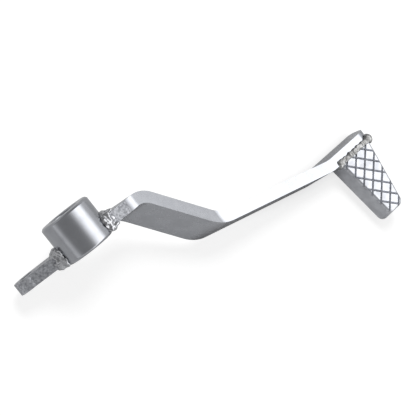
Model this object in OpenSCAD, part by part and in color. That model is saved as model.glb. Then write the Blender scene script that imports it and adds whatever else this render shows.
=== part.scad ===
// Rear brake pedal: a pivot tube, a rear arm with an eye for the brake rod, a joggled flat
// lever and a tapered foot pad, all welded together.
// The origin is the middle of the pivot bore. X points forward to the foot pad, Y points
// inboard along the pivot and Z points up, square to the tread. Lengths are in millimetres.

/* [Pivot tube] */
// Outside diameter of the tube
tube_od = 34.5; // [34:0.5:40]
// Length of the tube along the pivot
tube_len = 27.5; // [24:0.5:40]
// Diameter of the pivot bore
bore_d = 20; // [14:0.5:24]
// Chamfer round both ends of the tube
tube_chamfer = 1.3; // [0.5:0.1:2]
// Chamfer at both mouths of the bore
bore_chamfer = 0.8; // [0.4:0.1:1.5]

/* [Flat bar] */
// Thickness of the bar that the arm and the lever are cut from
bar_t = 8; // [6:0.5:10]
// Distance from the tube's outboard end in to the bar's outboard face
bar_setback = 2.6; // [2:0.1:4]

/* [Rear arm] */
// Distance from the pivot to the middle of the rod hole
arm_len = 43; // [38:0.5:60]
// Angle by which the arm drops below level towards the rear
arm_droop = 34; // [20:1:50]
// Height of the arm's upper edge over the line from the pivot
arm_top = 8; // [6:0.5:9]
// Outside diameter of the eye
eye_d = 19; // [18:0.5:24]
// Drop of the eye's middle below the line from the pivot
eye_drop = 0.5; // [0:0.1:2]
// Depth of the arm's lower edge under the line from the pivot, at the tube
arm_low = 13.5; // [11:0.5:14]
// Diameter of the rod hole
rod_hole_d = 9; // [6:0.5:11]
// Radius of the hollow between the eye and the upper edge
neck_r = 2; // [1:0.1:3]

/* [Lever, side view] */
// Height of the lever's upper edge over the pivot
root_top = 8; // [6:0.5:10]
// Distance from the pivot forward to the crank in the upper edge
crank_reach = 34; // [30:0.5:38]
// Rise of the upper edge from the pivot to the crank
crank_rise = 5.7; // [3:0.1:7]
// Distance from the crank forward to the knee behind the straight stretch
joggle_reach = 49; // [45:0.5:55]
// Fall of the upper edge from the crank to the knee
joggle_fall = 18.5; // [14:0.5:22]
// Distance from the knee forward to the end stretch
straight_reach = 96.5; // [80:0.5:120]
// Fall of the upper edge along the straight stretch
straight_fall = 17.5; // [12:0.5:22]
// Length of the end stretch beside the pad
end_reach = 39.5; // [36:0.5:44]
// Depth of the lever's lower edge below the pivot
root_low = 16; // [13:0.5:16.5]
// Width of the bar along the joggle
joggle_w = 28.5; // [26:0.5:32]
// Width of the bar at the pad
end_w = 22.5; // [20:0.5:26]
// Radius of the rounded crank
crank_r = 12; // [6:0.5:14]
// Radius of the flatter knees behind and ahead of the straight stretch
knee_r = 20; // [14:0.5:30]
// Radius of the upper corner at the tip
tip_r = 10; // [6:0.5:12]
// Radius of the lower corner at the tip
heel_r = 3; // [1:0.5:5]

/* [Lever, seen from above] */
// Forward lean of the bend lines from upright
bend_lean = 26; // [20:1:30]
// Distance from the pivot to the first bend, along the leaning view
first_bend = 34.5; // [33:0.5:38]
// Outboard run of the joggle
joggle_out = 46.5; // [40:0.5:52]
// Outboard run of the straight stretch
straight_out = 25; // [20:0.5:30]
// Radius of the first bend, to the middle of the bar
first_bend_r = 18; // [14:0.5:20]
// Radius of the second bend
second_bend_r = 30; // [24:1:36]
// Radius of the third bend
third_bend_r = 26; // [20:1:32]

/* [Foot pad] */
// Length of the tread across the bike
pad_len = 49; // [42:0.5:60]
// Width of the tread at the lever
pad_w_in = 29; // [26:0.5:32]
// Width of the tread at its free end
pad_w_out = 14; // [12:0.5:20]
// Height of the pad
pad_h = 14; // [11:0.5:17]
// Distance that the sides spread from the tread down to the rim
side_flare = 1.3; // [0.5:0.1:2]
// Distance that the free end spreads from the tread down to the rim
end_flare = 3; // [1:0.1:4]
// Radius of the pad's upright corners
corner_r = 4.5; // [3:0.1:5.5]
// Rounding of the tread's border
border_r = 1.6; // [0.8:0.1:2]
// Wall of the pad round its hollow underside
pad_wall = 4; // [3:0.1:5]
// Slope of the hollow's walls, as the wall's growth from the rim up to the tread
hollow_draft = 1; // [0.5:0.1:2]
// Thickness of the pad under the tread
tread_t = 5; // [4:0.1:7]
// Depth of the tread below the lever's upper edge
tread_drop = 0.5; // [0:0.1:2]
// Distance from the lever's tip back to the pad's middle line
pad_setback = 18.2; // [17:0.1:22]

/* [Tread pattern] */
// Distance between neighbouring grooves
groove_pitch = 6.9; // [5.5:0.1:9]
// Width of a groove at the tread
groove_w = 1.5; // [1:0.1:2]
// Depth of a groove
groove_depth = 1; // [0.5:0.1:1.2]
// Distance from the lever to where the first forward groove crosses the middle line
groove_start = 1.3; // [0:0.1:4]
// Shift of the crossing grooves along the middle line, as a share of their spacing there
groove_shift = 0.44; // [0:0.01:1]

/* [Welds] */
// Reach of the beads beside and under the arm and the lever
bead_r = 3; // [2.5:0.1:3.4]
// Reach round the tube of the beads over the arm and the lever
top_bead_reach = 5; // [4:0.1:6]
// Run of those beads along the arm and the lever
top_bead_run = 6.5; // [5:0.1:8]
// Radius of the bead along the pad
pad_bead_r = 3.4; // [3:0.1:3.8]
// Depth of the pad's bead below the tread, to the bead's middle
pad_bead_sink = 1.6; // [1:0.1:2]
// Radius of the lumps at the corners of the pad's bead
lump_r = 4.4; // [4:0.1:5]
// Distance from one ripple of a bead to the next
bead_step = 1.6; // [1.4:0.1:2.4]
// Share by which the ripples swell and shrink
ripple_share = 0.14; // [0.05:0.01:0.2]

/* [Hidden] */
$fn = 64;
tube_r = tube_od / 2;
eye_r = eye_d / 2;
far = 400;
// Depth to which a bead reaches into the parts that it joins, before they are cut from it
root_sink = 1;
// Radius of the pad's upright edges at the lever and of the corners of its hollow
in_r = 0.8;
hollow_r = 2;
// Height of the layers that the pad is stretched over
thin = 0.01;
// Turn from one ripple to the next, which keeps neighbours unlike each other
ripple_turn = 137.5;
// Share of both sides' reach that a bead keeps at a corner
corner_share = 0.75;
// Angle by which the first and last points of a bead's round stand off what it joins
bead_lift = 12;

// Outboard and inboard faces of the bar where it meets the tube
bar_out_y = -tube_len / 2 + bar_setback;
bar_in_y = bar_out_y + bar_t;
root_y = bar_out_y + bar_t / 2;

// Corners of the lever's upper edge in side view, as X and Z
top_start = [0, root_top];
top_crank = [crank_reach, root_top + crank_rise];
top_knee = top_crank + [joggle_reach, -joggle_fall];
top_end = top_knee + [straight_reach, -straight_fall];
top_tip = top_end + [end_reach, 0];

// Corners of the bar's middle line in the leaning view, as forward distance and Y
path = [
    [0, root_y],
    [first_bend, root_y],
    [leaning(top_knee), root_y - joggle_out],
    [leaning(top_end), root_y - joggle_out - straight_out],
    [leaning(top_tip) + bar_t, root_y - joggle_out - straight_out]
];
path_r = [0, first_bend_r, second_bend_r, third_bend_r, 0];

// Place of the pad: its wall against the lever, its middle line and its tread
pad_y = path[3][1] - bar_t / 2;
pad_x = top_tip[0] - pad_setback;
tread_z = top_tip[1] - tread_drop;

// Distance of a side-view point along the forward axis that is square to the bend lines
function leaning(p) = p[0] * cos(bend_lean) - p[1] * sin(bend_lean);

function unit(v) = v / norm(v);
function heading(p, q) = atan2(q[1] - p[1], q[0] - p[0]);
function polar(r, a) = r * [cos(a), sin(a)];
function reversed(list) = [for (i = [len(list) - 1 : -1 : 0]) list[i]];

// Turn of the bar's middle line at its corner i, and the middle of the bend there
function turn(i) = heading(path[i], path[i + 1]) - heading(path[i - 1], path[i]);
function bend_side(i) = turn(i) > 0 ? 1 : -1;
function bend_middle(i) =
    let (h = heading(path[i - 1], path[i]))
    path[i] - polar(path_r[i] * tan(abs(turn(i)) / 2), h) + bend_side(i) * polar(path_r[i], h + 90);

// Outline corners with each corner rounded to radius r by short chords
function rounded(pts, r, chords = 8) = [
    for (i = [0 : len(pts) - 1])
        let (
            a = pts[(i + len(pts) - 1) % len(pts)], b = pts[i], c = pts[(i + 1) % len(pts)],
            u = unit(a - b), v = unit(c - b),
            half = acos(max(-1, min(1, u * v))) / 2,
            middle = b + unit(u + v) * r[i] / sin(half),
            from = heading(middle, b + u * r[i] / tan(half)),
            sweep = 180 - 2 * half,
            side = (u[0] * v[1] - u[1] * v[0]) > 0 ? -1 : 1
        )
        if (r[i] == 0) b
        else for (k = [0 : chords]) middle + polar(r[i], from + side * sweep * k / chords)
];

// Lower edge of the bar: each corner of the upper edge moved down square to it by width w
function lowered(a, b, c, w) =
    let (n = unit(unit(a - b) - unit(c - b)))
    b - w * [-n[1], n[0]] * (n[0] < 0 ? -1 : 1);

// Points along an arc of n chords
function arc(middle, r, a, b, n) = [for (k = [0 : n]) middle + polar(r, a + (b - a) * k / n)];

// Angle, seen from the side, at which the line from p to q leaves the tube
function leaves_tube(p, q) =
    let (d = unit(q - p), along = -p * d, out = sqrt(tube_r * tube_r - p * p + along * along))
    let (m = p + d * (along + out)) atan2(m[1], m[0]);

// Extrudes a side-view outline from one Y to another
module across(y_low, y_high) {
    translate([0, y_high, 0]) rotate([90, 0, 0]) linear_extrude(y_high - y_low) children();
}

module pivot_tube() {
    color("silver") rotate([90, 0, 0]) rotate_extrude($fn = 96) polygon([
        [bore_d / 2, -tube_len / 2 + bore_chamfer],
        [bore_d / 2 + bore_chamfer, -tube_len / 2],
        [tube_r - tube_chamfer, -tube_len / 2],
        [tube_r, -tube_len / 2 + tube_chamfer],
        [tube_r, tube_len / 2 - tube_chamfer],
        [tube_r - tube_chamfer, tube_len / 2],
        [bore_d / 2 + bore_chamfer, tube_len / 2],
        [bore_d / 2, tube_len / 2 - bore_chamfer]
    ]);
}

// Space that the tube takes, cut from what butts against it
module tube_space() {
    rotate([90, 0, 0]) cylinder(r = tube_r, h = far, center = true, $fn = 96);
}

// Outline of the arm, which runs along +X from the pivot here, with its upper edge up. The
// upper edge meets the eye in a hollow, and the lower edge touches the eye.
eye = [arm_len, -eye_drop];
neck_x = arm_len - sqrt(pow(eye_r + neck_r, 2) - pow(arm_top + neck_r + eye_drop, 2));
neck = [neck_x, arm_top + neck_r];
arm_low_start = [0, -arm_low];
low_touch = heading(eye, arm_low_start) + acos(eye_r / norm(eye - arm_low_start));
arm_corners = concat(
    [[0, arm_top]],
    arc(neck, neck_r, -90, heading(neck, eye), 4),
    arc(eye, eye_r, heading(eye, neck), low_touch, 40),
    [arm_low_start]
);

module arm_outline() {
    difference() {
        polygon(arm_corners);
        translate(eye) circle(d = rod_hole_d);
    }
}

// The arm before its end is hollowed to the tube
module arm_blank() {
    rotate([0, 180 - arm_droop, 0]) mirror([0, 0, 1]) across(bar_out_y, bar_in_y) arm_outline();
}

module rear_arm() {
    color("silver") difference() {
        arm_blank();
        tube_space();
    }
}

// One side of the bar seen along its bend lines, d to the left of the middle line
function bar_side(d, chords = 10) = [
    for (i = [0 : len(path) - 1]) let (h = heading(path[max(i - 1, 0)], path[max(i, 1)]))
        if (path_r[i] == 0) path[i] + polar(d, h + 90)
        else for (k = [0 : chords])
            bend_middle(i) - bend_side(i)
                * polar(path_r[i] - bend_side(i) * d, h + 90 + turn(i) * k / chords)
];

// Lower corners of the bar at the pivot and under the crank
low_start = [0, -root_low];
low_crank = lowered(top_start, top_crank, top_knee, joggle_w);

// Side view of the lever, from inside the tube to the tip
module lever_outline() {
    low_knee = lowered(top_crank, top_knee, top_end, joggle_w);
    low_end = lowered(top_knee, top_end, top_tip, end_w);
    low_tip = top_tip - [0, end_w];
    polygon(rounded(
        [top_start, top_crank, top_knee, top_end, top_tip, low_tip, low_end, low_knee, low_crank,
            low_start],
        [0, crank_r, knee_r, knee_r, tip_r, heel_r, crank_r, crank_r, knee_r, 0]));
}

// The lever before its end is hollowed to the tube
module lever_blank() {
    intersection() {
        rotate([0, bend_lean, 0]) linear_extrude(far, center = true)
            polygon(concat(bar_side(bar_t / 2), reversed(bar_side(-bar_t / 2))));
        across(-far, far) lever_outline();
    }
}

module lever() {
    color("silver") difference() {
        lever_blank();
        tube_space();
    }
}

// Pad outline at one level: widths at the lever and at the free end, and the length between
module pad_layer(z, w_in, w_out, length, r) {
    side = atan2((w_in - w_out) / 2, length);
    for (s = [-1, 1]) {
        translate([s * (w_in / 2 - in_r * tan(45 + side / 2)), -in_r, z])
            cylinder(r = in_r, h = thin, $fn = 32);
        translate([s * (w_out / 2 - r * tan(45 - side / 2)), -length + r, z])
            cylinder(r = r, h = thin, $fn = 32);
    }
}

// Outer form of the pad without its grooves, tapered in both views, with a rounded border
module pad_blank() {
    translate([pad_x, pad_y, tread_z]) hull() {
        for (a = [0 : 30 : 90]) {
            inset = border_r * (1 - cos(a));
            pad_layer(-border_r * (1 - sin(a)) - thin, pad_w_in - 2 * inset, pad_w_out - 2 * inset,
                pad_len - inset, corner_r - inset);
        }
        pad_layer(-pad_h, pad_w_in + 2 * side_flare, pad_w_out + 2 * side_flare,
            pad_len + end_flare, corner_r + side_flare);
    }
}

// Hollow underside of the pad, which keeps the wall all round
module pad_hollow() {
    rim = 2 * (side_flare - pad_wall);
    top = rim - 2 * hollow_draft;
    translate([pad_x, pad_y - pad_wall, tread_z]) hull() {
        pad_layer(-tread_t, pad_w_in + top, pad_w_out + top, pad_len - 2 * pad_wall, hollow_r);
        pad_layer(-pad_h - 1, pad_w_in + rim, pad_w_out + rim,
            pad_len + end_flare - 2 * pad_wall, hollow_r);
    }
}

// Straight V-grooves across the tread in two crossing directions
module tread_grooves() {
    step = groove_pitch * sqrt(2);
    count = ceil((pad_len + pad_w_in) / step);
    for (way = [-1, 1], k = [-2 : count])
        translate([pad_x, pad_y - groove_start - (k + (way > 0 ? 0 : groove_shift)) * step, tread_z])
            rotate([0, 0, way * 45]) rotate([90, 0, 0])
                linear_extrude(2 * pad_len, center = true)
                    polygon([[-groove_w, groove_depth], [groove_w, groove_depth], [0, -groove_depth]]);
}

module foot_pad() {
    color("silver") difference() {
        pad_blank();
        pad_hollow();
        tread_grooves();
    }
}

// Closed body through rings of points, as a loop or capped at both ends
module ring_body(rings, loop) {
    n = len(rings[0]);
    m = len(rings);
    sides = [
        for (i = [0 : m - (loop ? 1 : 2)], j = [0 : n - 1], half = [0, 1])
            let (a = i * n, b = (i + 1) % m * n, j2 = (j + 1) % n)
            half == 0 ? [a + j, a + j2, b + j2] : [a + j, b + j2, b + j]
    ];
    last = (m - 1) * n;
    caps = loop ? [] : [
        for (j = [1 : n - 2], half = [0, 1])
            half == 0 ? [0, j + 1, j] : [last, last + j, last + j + 1]
    ];
    polyhedron([for (ring = rings, p = ring) p], concat(sides, caps));
}

function swell(k) = 1 + ripple_share * sin(ripple_turn * k);
function ripples(length) = max(1, round(length / bead_step));

// Point of the side view's tube circle at arc length s, sunk by depth and moved to y
function on_tube(s, y, depth) =
    let (c = polar(tube_r - depth, s / tube_r * 180 / PI)) [c[0], y, c[1]];

// Ring of a fillet at arc length s round the tube and at y: reach is how far it goes along
// and across the tube's surface, and rise how far it climbs the bar, which leads off at lead
function fillet_ring(s, y, reach, rise, lead) =
    let (back = unit(reach) * root_sink, up = rise * [cos(lead), 0, sin(lead)])
    concat(
        [on_tube(s - back[0], y - back[1], 0) + up],
        [
            for (q = arc([0, 0], 1, 90 - bead_lift, bead_lift, 5))
                on_tube(s + reach[0] * q[0], y + reach[1] * q[0], 0) + up * q[1]
        ],
        [
            on_tube(s + reach[0], y + reach[1], root_sink),
            on_tube(s - back[0], y - back[1], root_sink)
        ]
    );

// The fillet all round the joint of the tube and a bar whose edges leave it at two angles and
// lead off at two more: top is the edge with the larger bead
module joint_bead(angles, leads, top) {
    s = angles * PI / 180 * tube_r;
    corners = [[s[0], bar_out_y], [s[1], bar_out_y], [s[1], bar_in_y], [s[0], bar_in_y]];
    edge = [0, 1, 1, 0];
    side_reach = [top == 0 ? top_bead_reach : bead_r, top == 1 ? top_bead_reach : bead_r];
    reach = [side_reach[0], bar_setback - tube_chamfer / 2, side_reach[1], bead_r];
    rise = [for (i = edge) i == top ? top_bead_run : bead_r];
    outs = [[-1, 0], [0, -1], [1, 0], [0, 1]];
    ring_body([
        for (i = [0 : 3])
            let (j = (i + 1) % 4, way = corners[j] - corners[i], n = ripples(norm(way)))
            for (k = [0 : n - 1])
                let (
                    p = corners[i] + way * k / n,
                    ahead = outs[j] * reach[j],
                    out = k == 0 ? (outs[i] * reach[i] + ahead) * corner_share : ahead,
                    m = swell(k + i),
                    lead = leads[edge[i]] + (leads[edge[j]] - leads[edge[i]]) * k / n
                )
                fillet_ring(p[0], p[1], out * m, (rise[i] + (rise[j] - rise[i]) * k / n) * m, lead)
    ], true);
}

module arm_weld() {
    turned = 180 + arm_droop;
    top = turned - leaves_tube([0, arm_top], [neck_x, arm_top]);
    low_end = eye + polar(eye_r, low_touch);
    low = turned - leaves_tube(arm_low_start, low_end);
    color("silver") difference() {
        joint_bead([top, low], [turned, turned - heading(arm_low_start, low_end)], 0);
        tube_space();
        arm_blank();
    }
}

module lever_weld() {
    color("silver") difference() {
        joint_bead([leaves_tube(low_start, low_crank), leaves_tube(top_start, top_crank)],
            [heading(low_start, low_crank), heading(top_start, top_crank)], 1);
        tube_space();
        lever_blank();
    }
}

// Ring of the pad's bead round p: up is its direction away from the seam, square to Y
function seam_ring(p, up, r) = [
    for (q = arc([0, 0], r, 180 + bead_lift, -bead_lift, 7))
        [p[0] + up[0] * q[1], p[1] + q[0], p[2] + up[1] * q[1]]
];

// Space between the pad's walls and under its tread, cut from the bead
module pad_space() {
    taper = (pad_w_in - pad_w_out) / 2 / pad_len;
    translate([pad_x, pad_y, tread_z]) ring_body([
        for (z = [-2 * pad_h, 0])
            let (w = pad_w_in / 2 + thin - side_flare * (z + border_r) / (pad_h - border_r),
                w_far = w - taper * pad_h)
            [[-w, thin, z], [w, thin, z], [w_far, -pad_h, z], [-w_far, -pad_h, z]]
    ], false);
}

// The bead up behind the pad, along the lever's upper edge and down ahead of the pad
module pad_weld() {
    y = pad_y + root_sink;
    top_z = tread_z - pad_bead_sink;
    rim_z = tread_z - pad_h + root_sink;
    half = pad_w_in / 2;
    corners = [
        [pad_x - half - side_flare, y, rim_z], [pad_x - half, y, top_z],
        [pad_x + half, y, top_z], [pad_x + half + side_flare, y, rim_z]
    ];
    ups = [[-1, 0], [0, 1], [1, 0]];
    color("silver") difference() {
        ring_body(concat(
            [
                for (i = [0 : 2])
                    let (way = corners[i + 1] - corners[i], n = ripples(norm(way)))
                    for (k = [0 : n - 1])
                        let (turned = k == 0 && i > 0, r = turned ? lump_r : pad_bead_r * swell(k))
                        seam_ring(corners[i] + way * k / n,
                            turned ? unit(ups[i - 1] + ups[i]) : ups[i], r)
            ],
            [seam_ring(corners[3], ups[2], pad_bead_r)]
        ), false);
        pad_space();
        lever_blank();
    }
}

pivot_tube();
rear_arm();
lever();
foot_pad();
arm_weld();
lever_weld();
pad_weld();
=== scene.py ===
import math

import bmesh
import bpy
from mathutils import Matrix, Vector


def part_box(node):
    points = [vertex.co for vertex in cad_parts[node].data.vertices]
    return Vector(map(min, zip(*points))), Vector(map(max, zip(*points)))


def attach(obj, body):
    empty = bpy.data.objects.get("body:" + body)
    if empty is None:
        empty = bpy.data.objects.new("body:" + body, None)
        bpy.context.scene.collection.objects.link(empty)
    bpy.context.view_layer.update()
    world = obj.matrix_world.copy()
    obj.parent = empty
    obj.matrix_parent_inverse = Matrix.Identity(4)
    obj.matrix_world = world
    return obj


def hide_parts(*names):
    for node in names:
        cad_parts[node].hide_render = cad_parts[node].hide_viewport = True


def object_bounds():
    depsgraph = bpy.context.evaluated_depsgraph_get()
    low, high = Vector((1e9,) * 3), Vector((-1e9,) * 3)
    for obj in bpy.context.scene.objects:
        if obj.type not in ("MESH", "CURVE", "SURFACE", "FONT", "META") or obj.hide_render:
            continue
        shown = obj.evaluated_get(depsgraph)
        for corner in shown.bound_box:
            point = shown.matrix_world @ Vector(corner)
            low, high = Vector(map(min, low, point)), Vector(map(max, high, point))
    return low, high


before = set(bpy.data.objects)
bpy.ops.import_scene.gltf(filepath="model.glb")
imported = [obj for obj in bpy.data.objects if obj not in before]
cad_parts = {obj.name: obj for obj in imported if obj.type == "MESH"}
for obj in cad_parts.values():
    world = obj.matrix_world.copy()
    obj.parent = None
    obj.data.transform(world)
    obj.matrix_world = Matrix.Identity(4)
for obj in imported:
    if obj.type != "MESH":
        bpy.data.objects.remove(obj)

cad_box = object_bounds()

# The script works in metres, and a length times MM is one in millimetres
MM = 0.001

# Lengths below this count as none
TOUCH = 1e-7

# Edges that turn more than this many degrees stay sharp or are rounded
SHARP_ANGLE = 30

# Copies of the solids: how near corners are merged, and how few degrees of turn make one flat
SOLID_MERGE = 0.002 * MM
FLAT_ANGLE = 0.3

# Pivot tube: a hair slimmer than its solid, so that it stays inside the object's box
TUBE_R = 17.2499 * MM
TUBE_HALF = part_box("pivot_tube")[1].y
BORE_R = 10 * MM
TUBE_CHAMFER = 1.3 * MM
BORE_CHAMFER = 0.8 * MM
CHAMFER_ROUND = 0.35 * MM
CHAMFER_SEGMENTS = 3
TUBE_STEPS = 144
TUBE_MERGE = 0.001 * MM
TUBE_SHARP_ANGLE = 25

# Bars: the order of their finishes, and how far sideways a rolled face's normal leans at least
ROLLED, DRESSED, SHEARED = range(3)
SIDE_LEAN = 0.1

# Bars: how far forward their edges are left as sheared, and how far their corners are rounded
SHEARED_TO = 30 * MM
ARM_ROUND = 0.5 * MM
LEVER_ROUND = 0.6 * MM
ROUND_SEGMENTS = 3

# Foot pad: placed and as high as its solid, with the solid's own plan form, flare and hollow
PAD_LOW, PAD_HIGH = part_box("foot_pad")
PAD_PLACE = Vector(((PAD_LOW.x + PAD_HIGH.x) / 2, PAD_HIGH.y, PAD_HIGH.z))
PAD_H = PAD_HIGH.z - PAD_LOW.z
PAD_LEN = 48.61 * MM
PAD_W_IN = 28.66 * MM
PAD_W_OUT = 13.66 * MM
SIDE_FLARE = 1.47 * MM
END_FLARE = 3.39 * MM
FOOT_LEN = PAD_LEN + END_FLARE
BORDER_R = 1.6 * MM
BORDER_SEGMENTS = 5
CORNER_R = 4 * MM
CORNER_SEGMENTS = 8
PAD_WALL = 4 * MM
TREAD_T = 5 * MM
HOLLOW_DRAFT = 1 * MM

# Tread: how near the lever its straight edge lies at most, and how low it and its border reach
LEVER_EDGE = 1 * MM
BORDER_FOOT = -BORDER_R * 0.999

# V-grooves that cross the tread, each way with its slope and its shift along the pad in steps
GROOVE_HALF = 0.75 * MM
GROOVE_DEEP = 1.0 * MM
GROOVE_PITCH = 6.9 * MM
GROOVE_STEP = GROOVE_PITCH * math.sqrt(2)
GROOVE_START = 1.3 * MM
GROOVE_WAYS = ((1, 0.0), (-1, 0.44))
GROOVE_RUNS = range(-3, 9)
GROOVE_CUTS = 3
# Grooves deeper than this take the darker material, whose darkness is painted shade
GROOVE_SEEN = 0.1 * MM

# Weld beads: the size of their even mesh, and how far each round of melting moves a point
BEAD_VOXEL = 0.25 * MM
BEAD_MELT = 0.5

# Patches in the plating: how much rougher the dark ones are, and how much smoother the bright ones
PATCH_ROUGHER = 1.15
PATCH_SMOOTHER = 0.88

# Floor: a little below the pedal, bright to what mirrors it, and lit from within to the camera; near
# the pedal its colour and glow are darkened by painted shade
FLOOR_Z = cad_box[0].z - 0.4 * MM
FLOOR_HALF = 3.0
FLOOR_MIDDLE_X = 100 * MM
FLOOR_LEVEL = 0.74
FLOOR_LIFT = 0.80
SHADOW_SHARE = 0.34
# Painted shade on the floor: how far it reaches for the camera and for other rays, how strong it is,
# and its samples
PAINTED_SHADE_REACH = 9 * MM
MIRRORED_SHADE_REACH = 60 * MM
PAINTED_SHADE_POWER = 0.25
PAINTED_SHADE_SAMPLES = 12

# Room: how bright its walls, its ceiling and its dark parts are, and how far a way rises where the
# walls start to pass into the ceiling and where they have; dull surfaces get only a share of it all
HORIZON_LEVEL = 0.88
CEILING_LEVEL = 0.45
CEILING_RISE = (0.2, 0.75)
DARK_LEVEL = 0.34
FILL_SHARE = 0.6

# Dark gap: the middle of it, and how many degrees from there it starts and is whole
DARK_WAY = (-0.656, 0.05, 0.755)
DARK_EDGE = (42, 20)

# Dark side: how far a way leans inboard where it starts and where it is whole
DARK_SIDE = (0.3, 0.65)

# Bright band: its edges, in degrees that a way tilts forward from straight up
BAND_LEVEL = 2.75
BAND_START = (-6, 36)
BAND_END = (46, 72)

# Lamp for the floor: its way from the point that it aims at, its size and its distance
LAMP_LEVEL = 17
LAMP_WAY = (0.12, 0.50, 0.86)
LAMP_SIZE = 0.7
LAMP_FAR = 2.0
LAMP_AIM = Vector((90, -50, 0)) * MM

# Camera: its place, its turns in degrees, and its lens and sensor in millimetres
CAMERA_PLACE = Vector((-271.11, 62.97, 784.47)) * MM
CAMERA_TURN = (10.143, -22.86, -41.476)
CAMERA_LENS = 118.515
CAMERA_SENSOR = 36
CAMERA_NEAR = 10 * MM
CAMERA_FAR = 20


def linear(code):
    """An sRGB hex colour as linear red, green, blue and alpha."""
    parts = [int(code[i:i + 2], 16) / 255 for i in (0, 2, 4)]
    return [p / 12.92 if p <= 0.04045 else ((p + 0.055) / 1.055) ** 2.4 for p in parts] + [1.0]


def add(tree, kind, links=None, **settings):
    """A node with its settings; links name input sockets and the value or output for each."""
    node = tree.nodes.new(kind)
    for name, value in settings.items():
        setattr(node, name, value)
    for socket, value in (links or {}).items():
        if isinstance(value, bpy.types.NodeSocket):
            tree.links.new(value, node.inputs[socket])
        else:
            node.inputs[socket].default_value = value
    return node


def blank(name):
    """A new material, its node tree, and the output node that is all the tree holds."""
    material = bpy.data.materials.new(name)
    material.use_nodes = True
    tree = material.node_tree
    tree.nodes.clear()
    return material, tree, add(tree, "ShaderNodeOutputMaterial")


def plated_steel(name, colour, dark, rough, grain_mm, depth_mm, patch_mm):
    """Silver plating over steel: grain in the surface, and patches a little duller than the rest."""
    material, tree, out = blank(name)
    place = add(tree, "ShaderNodeTexCoord").outputs["Object"]
    grain = add(tree, "ShaderNodeTexNoise", {
        "Vector": place, "Scale": 1 / (grain_mm * MM), "Detail": 4.0, "Roughness": 0.6})
    patch = add(tree, "ShaderNodeTexNoise", {
        "Vector": place, "Scale": 1 / (patch_mm * MM), "Detail": 3.0, "Roughness": 0.55})
    share = add(tree, "ShaderNodeMapRange", {
        "Value": patch.outputs["Fac"], "From Min": 0.35, "From Max": 0.65})
    tint = add(tree, "ShaderNodeMix", {
        "Factor": share.outputs["Result"], "A": linear(dark), "B": linear(colour)},
        data_type="RGBA")
    dull = add(tree, "ShaderNodeMapRange", {
        "Value": patch.outputs["Fac"], "From Min": 0.3, "From Max": 0.7,
        "To Min": rough * PATCH_ROUGHER, "To Max": rough * PATCH_SMOOTHER})
    bump = add(tree, "ShaderNodeBump", {
        "Strength": 1.0, "Distance": depth_mm * MM, "Height": grain.outputs["Fac"]})
    shader = add(tree, "ShaderNodeBsdfPrincipled", {
        "Base Color": tint.outputs["Result"], "Metallic": 1.0,
        "Roughness": dull.outputs["Result"], "Normal": bump.outputs["Normal"]})
    tree.links.new(shader.outputs["BSDF"], out.inputs["Surface"])
    return material


def mesh_object(name, bm, materials, node):
    """Turns a bmesh into a piece that rides on the pedal and stands for a CAD node."""
    mesh = bpy.data.meshes.new(name)
    bm.to_mesh(mesh)
    bm.free()
    for material in materials:
        mesh.materials.append(material)
    piece = bpy.data.objects.new(name, mesh)
    bpy.context.scene.collection.objects.link(piece)
    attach(piece, "root")
    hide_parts(node)
    return piece


def smooth(piece, angle):
    """Smooth shading that stops at edges sharper than the angle."""
    piece.data.shade_smooth()
    piece.data.set_sharp_from_angle(angle=math.radians(angle))


def solid_copy(node):
    """A bmesh of a CAD node, its loose triangles merged and its flats made whole."""
    bm = bmesh.new()
    bm.from_mesh(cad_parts[node].data)
    bmesh.ops.remove_doubles(bm, verts=bm.verts, dist=SOLID_MERGE)
    bmesh.ops.dissolve_limit(bm, angle_limit=math.radians(FLAT_ANGLE), verts=bm.verts,
                             edges=bm.edges)
    return bm


def pivot_tube(material):
    """The turned tube: a profile spun round the pivot, with rounded chamfers."""
    inboard = [
        (BORE_R, TUBE_HALF - BORE_CHAMFER), (BORE_R + BORE_CHAMFER, TUBE_HALF),
        (TUBE_R - TUBE_CHAMFER, TUBE_HALF), (TUBE_R, TUBE_HALF - TUBE_CHAMFER)]
    profile = [(r, -y) for r, y in inboard] + inboard[::-1]
    bm = bmesh.new()
    corners = [bm.verts.new((r, y, 0)) for r, y in profile]
    for i, corner in enumerate(corners):
        bm.edges.new((corner, corners[(i + 1) % len(corners)]))
    bmesh.ops.bevel(bm, geom=list(bm.verts), affect="VERTICES", offset=CHAMFER_ROUND,
                    segments=CHAMFER_SEGMENTS, profile=0.5, material=-1)
    bmesh.ops.spin(bm, geom=list(bm.verts) + list(bm.edges), cent=(0, 0, 0), axis=(0, 1, 0),
                   angle=2 * math.pi, steps=TUBE_STEPS, use_merge=True)
    bmesh.ops.remove_doubles(bm, verts=bm.verts, dist=TUBE_MERGE)
    bmesh.ops.recalc_face_normals(bm, faces=bm.faces)
    piece = mesh_object("pivot_tube_turned", bm, [material], "pivot_tube")
    smooth(piece, TUBE_SHARP_ANGLE)


def bar_piece(name, node, materials, edge_round):
    """A bar cut from plate: rolled faces, dressed edges and, near the tube, sheared edges."""
    bm = solid_copy(node)
    for face in bm.faces:
        edge = SHEARED if face.calc_center_median().x < SHEARED_TO else DRESSED
        face.material_index = ROLLED if abs(face.normal.y) > SIDE_LEAN else edge
    piece = mesh_object(name, bm, materials, node)
    smooth(piece, SHARP_ANGLE)
    bevel = piece.modifiers.new("edge_round", "BEVEL")
    bevel.width = edge_round
    bevel.segments = ROUND_SEGMENTS
    bevel.limit_method = "ANGLE"
    bevel.angle_limit = math.radians(SHARP_ANGLE)
    bevel.harden_normals = True


def level_face(bm, z):
    """The largest face that lies wholly at one height."""
    flat = [f for f in bm.faces if all(abs(v.co.z - z) < TOUCH for v in f.verts)]
    return max(flat, key=lambda f: f.calc_area())


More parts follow.
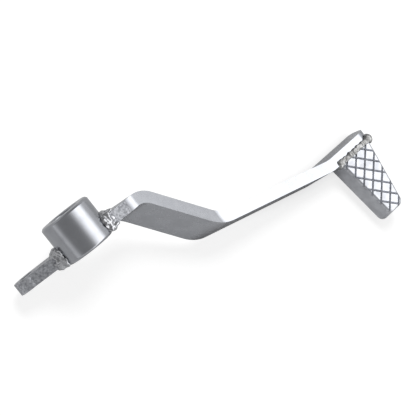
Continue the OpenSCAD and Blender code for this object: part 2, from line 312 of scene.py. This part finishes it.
def drawn_out(bm, face, z, move):
    """Extrudes a face to another height and shapes the new outline by a function of its points."""
    made = bmesh.ops.extrude_face_region(bm, geom=[face])["geom"]
    for v in (g for g in made if isinstance(g, bmesh.types.BMVert)):
        v.co = Vector((*move(v.co.x, v.co.y), z))


def half_width(far, length):
    """Half the width at a distance from the lever, on a pad outline of the given length."""
    return (PAD_W_IN + (PAD_W_OUT - PAD_W_IN) * far / length) / 2


def flared(x, y):
    """A point of the tread's outline moved out to the rim underneath."""
    wide = half_width(-y, PAD_LEN)
    return x * (wide + SIDE_FLARE) / wide, y * FOOT_LEN / PAD_LEN


def moved_in(x, y):
    """A point of the pad's rim moved in by the wall to the mouth of the hollow."""
    far = PAD_WALL - y / FOOT_LEN * (FOOT_LEN - 2 * PAD_WALL)
    wide = half_width(-y, FOOT_LEN) + SIDE_FLARE
    inner = half_width(far, FOOT_LEN) + SIDE_FLARE - PAD_WALL
    return x * inner / wide, -far


def drafted(x, y):
    """A point of the hollow's mouth moved in as far as its walls lean."""
    mouth_len = FOOT_LEN - 2 * PAD_WALL
    top_len = PAD_LEN - 2 * PAD_WALL
    return x - math.copysign(HOLLOW_DRAFT, x), -PAD_WALL + (y + PAD_WALL) * top_len / mouth_len


def tread_outline(bm):
    """One flat face that looks up, with the tread's plan form and its far corners rounded."""
    corners = [bm.verts.new((side * wide / 2, -far, 0)) for side, wide, far in (
        (1, PAD_W_IN, 0), (1, PAD_W_OUT, PAD_LEN), (-1, PAD_W_OUT, PAD_LEN), (-1, PAD_W_IN, 0))]
    bm.faces.new(corners)
    bmesh.ops.bevel(bm, geom=[corners[1], corners[2]], affect="VERTICES", offset=CORNER_R,
                    segments=CORNER_SEGMENTS, profile=0.5, material=-1)
    tread = level_face(bm, 0)
    bmesh.ops.reverse_faces(bm, faces=[tread])
    return tread


def hollow_out(bm):
    """Opens the pad's underside into a hollow whose walls lean."""
    mouth = level_face(bm, -PAD_H)
    # The inset only makes the rim's faces, and moved_in gives the rim its width
    bmesh.ops.inset_region(bm, faces=[mouth], thickness=0.01 * MM)
    for v in mouth.verts:
        v.co.x, v.co.y = moved_in(v.co.x, v.co.y)
    drawn_out(bm, mouth, -TREAD_T, drafted)
    bmesh.ops.delete(bm, geom=[mouth], context="FACES_ONLY")


def round_border(bm):
    """Rounds the border of the tread, but for its straight edge at the lever."""
    border = [e for e in level_face(bm, 0).edges if any(v.co.y < -LEVER_EDGE for v in e.verts)]
    bmesh.ops.bevel(bm, geom=border, affect="EDGES", offset=BORDER_R, segments=BORDER_SEGMENTS,
                    profile=0.5, material=-1, clamp_overlap=True)


def groove_depth(x, y):
    """Depth of the crossing grooves at a point of the tread, counted from the pad's middle line."""
    depth = 0.0
    for way, shift in GROOVE_WAYS:
        along = (y + GROOVE_START + shift * GROOVE_STEP - way * x) / math.sqrt(2)
        off = abs((along + GROOVE_PITCH / 2) % GROOVE_PITCH - GROOVE_PITCH / 2)
        depth = max(depth, GROOVE_DEEP * max(0.0, 1 - off / GROOVE_HALF))
    return depth


def cut_tread(bm, point, normal):
    """Cuts the faces of the tread and its border along an upright plane."""
    faces = [f for f in bm.faces if f.calc_center_median().z > BORDER_FOOT]
    edges = list(dict.fromkeys(e for f in faces for e in f.edges))
    verts = list(dict.fromkeys(v for e in edges for v in e.verts))
    bmesh.ops.bisect_plane(bm, geom=faces + edges + verts, dist=TOUCH, plane_co=point,
                           plane_no=normal)


def cut_grooves(bm):
    """Cuts the tread along every groove, sinks the cuts and gives the grooves their own material,
    darker by painted shade.
    """
    for way, shift in GROOVE_WAYS:
        across = Vector((-way, 1, 0)).normalized()
        for run in GROOVE_RUNS:
            middle = Vector((0, -GROOVE_START - (run + shift) * GROOVE_STEP, 0))
            for cut in range(-GROOVE_CUTS, GROOVE_CUTS + 1):
                cut_tread(bm, middle + across * GROOVE_HALF * cut / GROOVE_CUTS, across)
    for v in bm.verts:
        if v.co.z > -BORDER_R - TOUCH:
            v.co.z = min(v.co.z, -groove_depth(v.co.x, v.co.y))
    # Faces deep in a groove take the second material, which paints shade into the groove
    for face in bm.faces:
        x, y, z = face.calc_center_median()
        face.material_index = int(z > BORDER_FOOT and groove_depth(x, y) > GROOVE_SEEN)


def foot_pad(*materials):
    """The cast pad: a tapered block with a rounded border, a grooved tread and a hollow back."""
    bm = bmesh.new()
    drawn_out(bm, tread_outline(bm), -PAD_H, flared)
    hollow_out(bm)
    bmesh.ops.recalc_face_normals(bm, faces=bm.faces)
    round_border(bm)
    cut_grooves(bm)
    bmesh.ops.translate(bm, verts=bm.verts, vec=PAD_PLACE)
    bmesh.ops.recalc_face_normals(bm, faces=bm.faces)
    piece = mesh_object("foot_pad_cast", bm, materials, "foot_pad")
    smooth(piece, SHARP_ANGLE)


def bead(name, node, material, lump_mm, swell_mm, level, melting):
    """A weld bead: the ripples of its solid run together by melting, with soft lumps laid on."""
    piece = mesh_object(name, solid_copy(node), [material], node)
    melt = piece.modifiers.new("even_mesh", "REMESH")
    melt.mode = "VOXEL"
    melt.voxel_size = BEAD_VOXEL
    melt.use_smooth_shade = True
    relax = piece.modifiers.new("run_together", "SMOOTH")
    relax.factor = BEAD_MELT
    relax.iterations = melting
    lumps = bpy.data.textures.new(name + "_lumps", "CLOUDS")
    lumps.noise_scale = lump_mm * MM
    lumps.noise_basis = "IMPROVED_PERLIN"
    lumps.noise_depth = 0
    swell = piece.modifiers.new("lumps", "DISPLACE")
    swell.texture = lumps
    swell.texture_coords = "LOCAL"
    swell.mid_level = level
    swell.strength = swell_mm * MM


def white_paper():
    """Paper that is white to the camera, but for the shadow and a painted shade in the corners near
    the pedal, which darkens its colour and its glow.
    """
    material, tree, out = blank("white_paper")
    camera_ray = add(tree, "ShaderNodeLightPath").outputs["Is Camera Ray"]
    reach = add(tree, "ShaderNodeMapRange", {
        "Value": camera_ray, "To Min": MIRRORED_SHADE_REACH, "To Max": PAINTED_SHADE_REACH})
    # Painted shade: the more closely the pedal hems in a point, the darker the paper's colour and
    # glow there
    corner = add(tree, "ShaderNodeAmbientOcclusion", {"Distance": reach.outputs["Result"]},
                 samples=PAINTED_SHADE_SAMPLES)
    painted_shade_share = add(tree, "ShaderNodeMath", {
        0: corner.outputs["AO"], 1: PAINTED_SHADE_POWER}, operation="POWER").outputs["Value"]
    pale = add(tree, "ShaderNodeMapRange", {
        "Value": camera_ray, "To Min": FLOOR_LEVEL, "To Max": SHADOW_SHARE})
    lit = add(tree, "ShaderNodeMath", {
        0: pale.outputs["Result"], 1: painted_shade_share}, operation="MULTIPLY")
    paper = add(tree, "ShaderNodeBsdfDiffuse", {"Color": lit.outputs["Value"]})
    shown = add(tree, "ShaderNodeMath", {0: camera_ray, 1: painted_shade_share}, operation="MULTIPLY")
    lift = add(tree, "ShaderNodeMath", {
        0: shown.outputs["Value"], 1: FLOOR_LIFT}, operation="MULTIPLY")
    glow = add(tree, "ShaderNodeEmission", {"Strength": lift.outputs["Value"]})
    both = add(tree, "ShaderNodeAddShader", {
        0: paper.outputs["BSDF"], 1: glow.outputs["Emission"]})
    tree.links.new(both.outputs["Shader"], out.inputs["Surface"])
    return material


def floor():
    """The plain pale floor, which takes the pedal's shadow."""
    mesh = bpy.data.meshes.new("floor")
    bm = bmesh.new()
    bmesh.ops.create_grid(bm, x_segments=1, y_segments=1, size=FLOOR_HALF)
    bmesh.ops.translate(bm, verts=bm.verts, vec=(FLOOR_MIDDLE_X, 0, FLOOR_Z))
    bm.to_mesh(mesh)
    bm.free()
    mesh.materials.append(white_paper())
    ground = bpy.data.objects.new("floor", mesh)
    bpy.context.scene.collection.objects.link(ground)


def room_level(tree, way, height):
    """Brightness of the room each way: pale walls and a dimmer ceiling, with a dark gap in it."""
    ceiling = add(tree, "ShaderNodeMapRange", {
        "Value": height, "From Min": CEILING_RISE[0], "From Max": CEILING_RISE[1],
        "To Min": HORIZON_LEVEL, "To Max": CEILING_LEVEL}, interpolation_type="SMOOTHSTEP")
    turn = add(tree, "ShaderNodeVectorMath", {0: way, 1: DARK_WAY}, operation="DOT_PRODUCT")
    starts, whole = (math.cos(math.radians(edge)) for edge in DARK_EDGE)
    gap = add(tree, "ShaderNodeMapRange", {
        "Value": turn.outputs["Value"], "From Min": starts, "From Max": whole},
        interpolation_type="SMOOTHSTEP")
    return add(tree, "ShaderNodeMix", {
        "Factor": gap.outputs["Result"], "A": ceiling.outputs["Result"],
        "B": DARK_LEVEL}).outputs["Result"]


def band_share(tree, forward, height, glossy_ray):
    """Share of the bright band each way, which only the metal mirrors."""
    tilt = add(tree, "ShaderNodeMath", {0: forward, 1: height}, operation="ARCTAN2")
    rise = add(tree, "ShaderNodeMapRange", {
        "Value": tilt.outputs["Value"], "From Min": math.radians(BAND_START[0]),
        "From Max": math.radians(BAND_START[1])}, interpolation_type="SMOOTHSTEP")
    fall = add(tree, "ShaderNodeMapRange", {
        "Value": tilt.outputs["Value"], "From Min": math.radians(BAND_END[1]),
        "From Max": math.radians(BAND_END[0])}, interpolation_type="SMOOTHSTEP")
    band = add(tree, "ShaderNodeMath", {
        0: rise.outputs["Result"], 1: fall.outputs["Result"]}, operation="MULTIPLY")
    return add(tree, "ShaderNodeMath", {
        0: band.outputs["Value"], 1: glossy_ray}, operation="MULTIPLY").outputs["Value"]


def room():
    """The room round the pedal, which is plain white where the camera itself looks into it."""
    world = bpy.data.worlds.new("studio")
    bpy.context.scene.world = world
    world.use_nodes = True
    tree = world.node_tree
    tree.nodes.clear()
    out = add(tree, "ShaderNodeOutputWorld")
    rays = add(tree, "ShaderNodeLightPath").outputs
    way = add(tree, "ShaderNodeTexCoord").outputs["Generated"]
    forward, inboard, height = add(tree, "ShaderNodeSeparateXYZ", {0: way}).outputs
    band = band_share(tree, forward, height, rays["Is Glossy Ray"])
    level = add(tree, "ShaderNodeMix", {
        "Factor": band, "A": room_level(tree, way, height), "B": BAND_LEVEL})
    side = add(tree, "ShaderNodeMapRange", {
        "Value": inboard, "From Min": DARK_SIDE[0], "From Max": DARK_SIDE[1]},
        interpolation_type="SMOOTHSTEP")
    level = add(tree, "ShaderNodeMix", {
        "Factor": side.outputs["Result"], "A": level.outputs["Result"], "B": DARK_LEVEL})
    fill = add(tree, "ShaderNodeMapRange", {
        "Value": rays["Is Diffuse Ray"], "To Min": 1.0, "To Max": FILL_SHARE})
    level = add(tree, "ShaderNodeMath", {
        0: level.outputs["Result"], 1: fill.outputs["Result"]}, operation="MULTIPLY")
    lit = add(tree, "ShaderNodeBackground", {
        "Color": (1, 1, 1, 1), "Strength": level.outputs["Value"]})
    white = add(tree, "ShaderNodeBackground", {"Color": (1, 1, 1, 1), "Strength": 1.0})
    mix = add(tree, "ShaderNodeMixShader", {
        0: rays["Is Camera Ray"], 1: lit.outputs["Background"], 2: white.outputs["Background"]})
    tree.links.new(mix.outputs["Shader"], out.inputs["Surface"])


def lamp():
    """A soft box overhead for the pedal's shadow, which the metal doesn't mirror."""
    light = bpy.data.lights.new("overhead_box", "AREA")
    light.shape = "SQUARE"
    light.size = LAMP_SIZE
    light.energy = LAMP_LEVEL * math.pi * LAMP_SIZE ** 2
    box = bpy.data.objects.new("overhead_box", light)
    bpy.context.scene.collection.objects.link(box)
    box.visible_glossy = False
    way = Vector(LAMP_WAY).normalized()
    box.location = LAMP_AIM + way * LAMP_FAR
    box.rotation_mode = "QUATERNION"
    box.rotation_quaternion = way.to_track_quat("Z", "Y")


def view():
    """The camera at the photograph's angle, and colours shown as they are written."""
    camera_data = bpy.data.cameras.new("camera")
    camera_data.lens = CAMERA_LENS
    camera_data.sensor_width = CAMERA_SENSOR
    camera_data.clip_start = CAMERA_NEAR
    camera_data.clip_end = CAMERA_FAR
    camera = bpy.data.objects.new("camera", camera_data)
    bpy.context.scene.collection.objects.link(camera)
    camera.location = CAMERA_PLACE
    camera.rotation_euler = [math.radians(turn) for turn in CAMERA_TURN]
    bpy.context.scene.camera = camera
    bpy.context.scene.view_settings.view_transform = "Standard"


# The plating's own grain is a tenth of a millimetre or finer, and is drawn coarser here to show

# Rolled faces of the bars: even satin, faintly clouded
rolled = plated_steel("silver_plated_rolled_steel", "ACAEB3", "A6A8AD",
                      rough=0.28, grain_mm=0.5, depth_mm=0.006, patch_mm=9)
# Sheared edges: torn grain that glitters in specks, drawn coarser than the real 0.3 mm to be seen
sheared = plated_steel("silver_plated_sheared_edge", "C8CACF", "94969B",
                       rough=0.5, grain_mm=1.0, depth_mm=0.2, patch_mm=1.4)
# Dressed edges: ground nearly smooth, so that they catch the light as one clean strip
dressed = plated_steel("silver_plated_dressed_edge", "AEB0B5", "A6A8AD",
                       rough=0.17, grain_mm=0.6, depth_mm=0.006, patch_mm=6)
# Turned tube: a soft bright band beside a dark one, with a fine haze
turned = plated_steel("silver_plated_turned_steel", "ACAEB3", "A4A6AB",
                      rough=0.21, grain_mm=0.5, depth_mm=0.010, patch_mm=9)
# Cast pad: paler and duller than the bars, with a fine cast skin
cast = plated_steel("silver_plated_cast_steel", "C4C6CB", "B4B6BB",
                    rough=0.40, grain_mm=0.7, depth_mm=0.012, patch_mm=6)
# Grooves of the tread: a little darker than the pad, a painted shade in the recesses, and rougher in
# grain, so that they read as lines
groove = plated_steel("silver_plated_cast_groove_painted_shade", "B2B4B9", "A4A6AB",
                      rough=0.4, grain_mm=0.7, depth_mm=0.02, patch_mm=6)
# Beads on the tube: run smooth and shiny, with small highlights
weld = plated_steel("silver_plated_weld", "C0C1C4", "9A9B9E",
                    rough=0.22, grain_mm=1.2, depth_mm=0.012, patch_mm=3.0)
# Bead on the pad: rougher and more clouded than the beads on the tube, and darker by painted shade
shaded_pad_weld = plated_steel("silver_plated_pad_weld_painted_shade", "A6A6A6", "7E7E7D",
                         rough=0.40, grain_mm=1.2, depth_mm=0.015, patch_mm=2.0)

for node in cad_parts.values():
    node.data.materials.clear()
    node.data.materials.append(rolled)

pivot_tube(turned)
bar_piece("rear_arm_plate", "rear_arm", [rolled, dressed, sheared], ARM_ROUND)
bar_piece("lever_bar", "lever", [rolled, dressed, sheared], LEVER_ROUND)
foot_pad(cast, groove)
bead("arm_fillet", "arm_weld", weld, lump_mm=3.2, swell_mm=3.0, level=0.45, melting=12)
bead("lever_fillet", "lever_weld", weld, lump_mm=3.2, swell_mm=3.0, level=0.45, melting=12)
bead("pad_fillet", "pad_weld", shaded_pad_weld, lump_mm=2.4, swell_mm=0.9, level=0.15, melting=320)
floor()
room()
lamp()
view()
